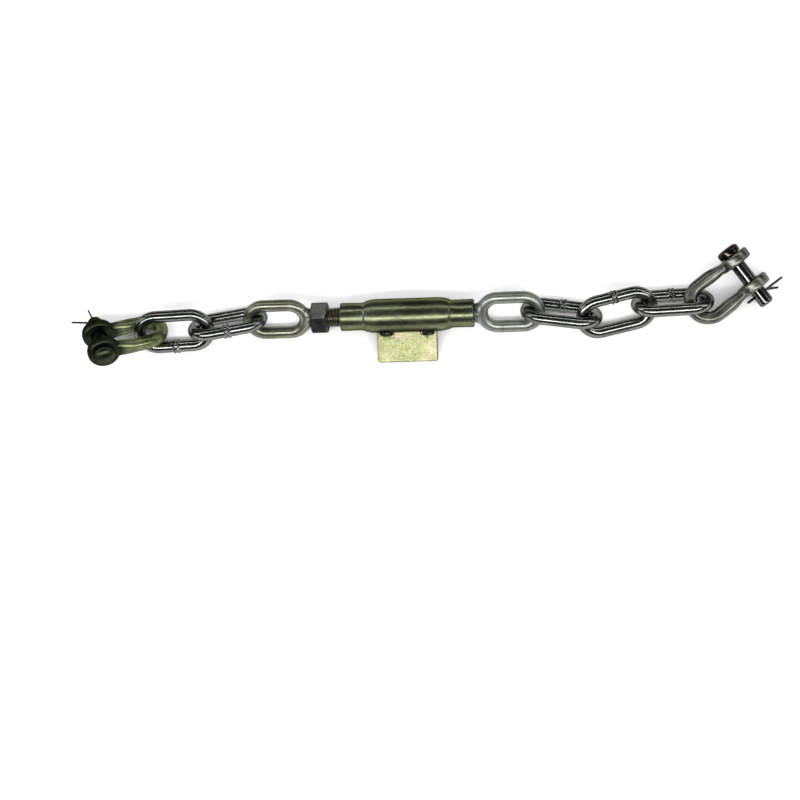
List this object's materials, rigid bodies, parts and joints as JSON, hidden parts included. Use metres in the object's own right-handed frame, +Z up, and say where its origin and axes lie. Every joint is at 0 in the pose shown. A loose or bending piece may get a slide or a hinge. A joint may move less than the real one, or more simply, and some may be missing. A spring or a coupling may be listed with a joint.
{
  "type": "turnbuckle chain load binder",
  "caption": "Closed-body turnbuckle load binder: a tube with a turning tab, eye bolts with a lock nut, short chains and a forged shackle with a clevis pin at each end.",
  "frame": {"origin": "middle of the whole object's box, on the plane it lies on, in the laid-out pose", "axes": "+X along the turnbuckle body from the lock-nut end to the other end, +Z up, +Y away from the turning tab"},
  "size_m": [0.5617, 0.0874, 0.042],
  "materials": {
    "body_zinc": "yellow-passivated zinc on drawn steel, satin",
    "tab_zinc": "yellow-passivated zinc on hot-rolled plate, mottled satin",
    "weld_steel": "plated weld bead, dark and lumpy",
    "eye_zinc_warm": "satin zinc with a slight yellow tint",
    "eye_zinc_pale": "satin zinc",
    "nut_steel": "plain dark steel",
    "link_zinc": "bright zinc on drawn wire",
    "shackle_zinc_olive": "yellow-passivated zinc on a forging, semi-gloss",
    "shackle_zinc_grey": "dull zinc on a forging, satin",
    "pin_dark": "yellow-passivated zinc, darkened, semi-gloss",
    "pin_bright": "bright zinc",
    "split_steel": "plain dark steel wire"
  },
  "bodies": {
    "left_eye": {"left_eye_bolt": "eye_zinc_warm"},
    "turnbuckle_body": {"body_tube": "body_zinc", "turning_tab": "tab_zinc", "tab_weld_left": "weld_steel", "tab_weld_right": "weld_steel"},
    "lock_nut_body": {"lock_nut": "nut_steel"},
    "right_eye": {"right_eye_bolt": "eye_zinc_pale"},
    "left_link_inner": {"left_link_1": "link_zinc"},
    "left_link_outer": {"left_link_2": "link_zinc"},
    "left_shackle_body": {"left_shackle": "shackle_zinc_olive"},
    "left_pin_body": {"left_clevis_pin": "pin_dark", "left_split_pin": "split_steel"},
    "right_link_inner": {"right_link_1": "link_zinc"},
    "right_link_middle": {"right_link_2": "link_zinc"},
    "right_link_outer": {"right_link_3": "link_zinc"},
    "right_shackle_body": {"right_shackle": "shackle_zinc_grey"},
    "right_pin_body": {"right_clevis_pin": "pin_bright", "right_split_pin": "split_steel"}
  },
  "joints": [
    {"name": "body_turn", "type": "hinge", "parent": "left_eye", "child": "turnbuckle_body", "pos_m": [-0.01231, -0.00407, 0.01496], "axis": [-1, 0, 0], "range_deg": [0, 2700]},
    {"name": "right_rod_slide", "type": "slide", "parent": "left_eye", "child": "right_eye", "axis": [1, 0, 0], "range_m": [0, 0.03]},
    {"name": "lock_nut_run", "type": "slide", "parent": "left_eye", "child": "lock_nut_body", "axis": [1, 0, 0], "range_m": [0, 0.01]},
    {"name": "left_link_1_swing", "type": "hinge", "parent": "left_eye", "child": "left_link_inner", "pos_m": [-0.13856, -0.00407, 0.01496], "axis": [0, 0.6293, 0.7771], "range_deg": [-60, 60]},
    {"name": "left_link_2_swing", "type": "hinge", "parent": "left_link_inner", "child": "left_link_outer", "pos_m": [-0.18304, -0.01088, 0.01496], "axis": [-0.1041, 0.6804, -0.7254], "range_deg": [-60, 60]},
    {"name": "left_shackle_swing", "type": "hinge", "parent": "left_link_outer", "child": "left_shackle_body", "pos_m": [-0.22632, -0.01231, 0.01496], "axis": [-0.0228, 0.688, 0.7254], "range_deg": [-60, 60]},
    {"name": "right_link_1_swing", "type": "hinge", "parent": "right_eye", "child": "right_link_inner", "pos_m": [0.09144, -0.00407, 0.01496], "axis": [0, 0.6947, 0.7193], "range_deg": [-60, 60]},
    {"name": "right_link_2_swing", "type": "hinge", "parent": "right_link_inner", "child": "right_link_middle", "pos_m": [0.13592, -0.01088, 0.01496], "axis": [0.1041, 0.6804, -0.7254], "range_deg": [-60, 60]},
    {"name": "right_link_3_swing", "type": "hinge", "parent": "right_link_middle", "child": "right_link_outer", "pos_m": [0.1787, -0.00124, 0.01496], "axis": [-0.1513, 0.6715, 0.7254], "range_deg": [-60, 60]},
    {"name": "right_shackle_swing", "type": "hinge", "parent": "right_link_outer", "child": "right_shackle_body", "pos_m": [0.22257, 0.00022, 0.01496], "axis": [0.1071, -0.2425, 0.9642], "range_deg": [-60, 60]},
    {"name": "left_pin_turn", "type": "hinge", "parent": "left_shackle_body", "child": "left_pin_body", "pos_m": [-0.25612, -0.02114, 0.02214], "axis": [0.3561, -0.7592, 0.5449], "continuous": true},
    {"name": "right_pin_turn", "type": "hinge", "parent": "right_shackle_body", "child": "right_pin_body", "pos_m": [0.25081, 0.02096, 0.01704], "axis": [-0.5842, 0.7694, 0.2584], "continuous": true}
  ],
  "couplings": [
    {"joint": "body_turn", "follows": "right_rod_slide", "rad_per_m": 1570.8}
  ]
}
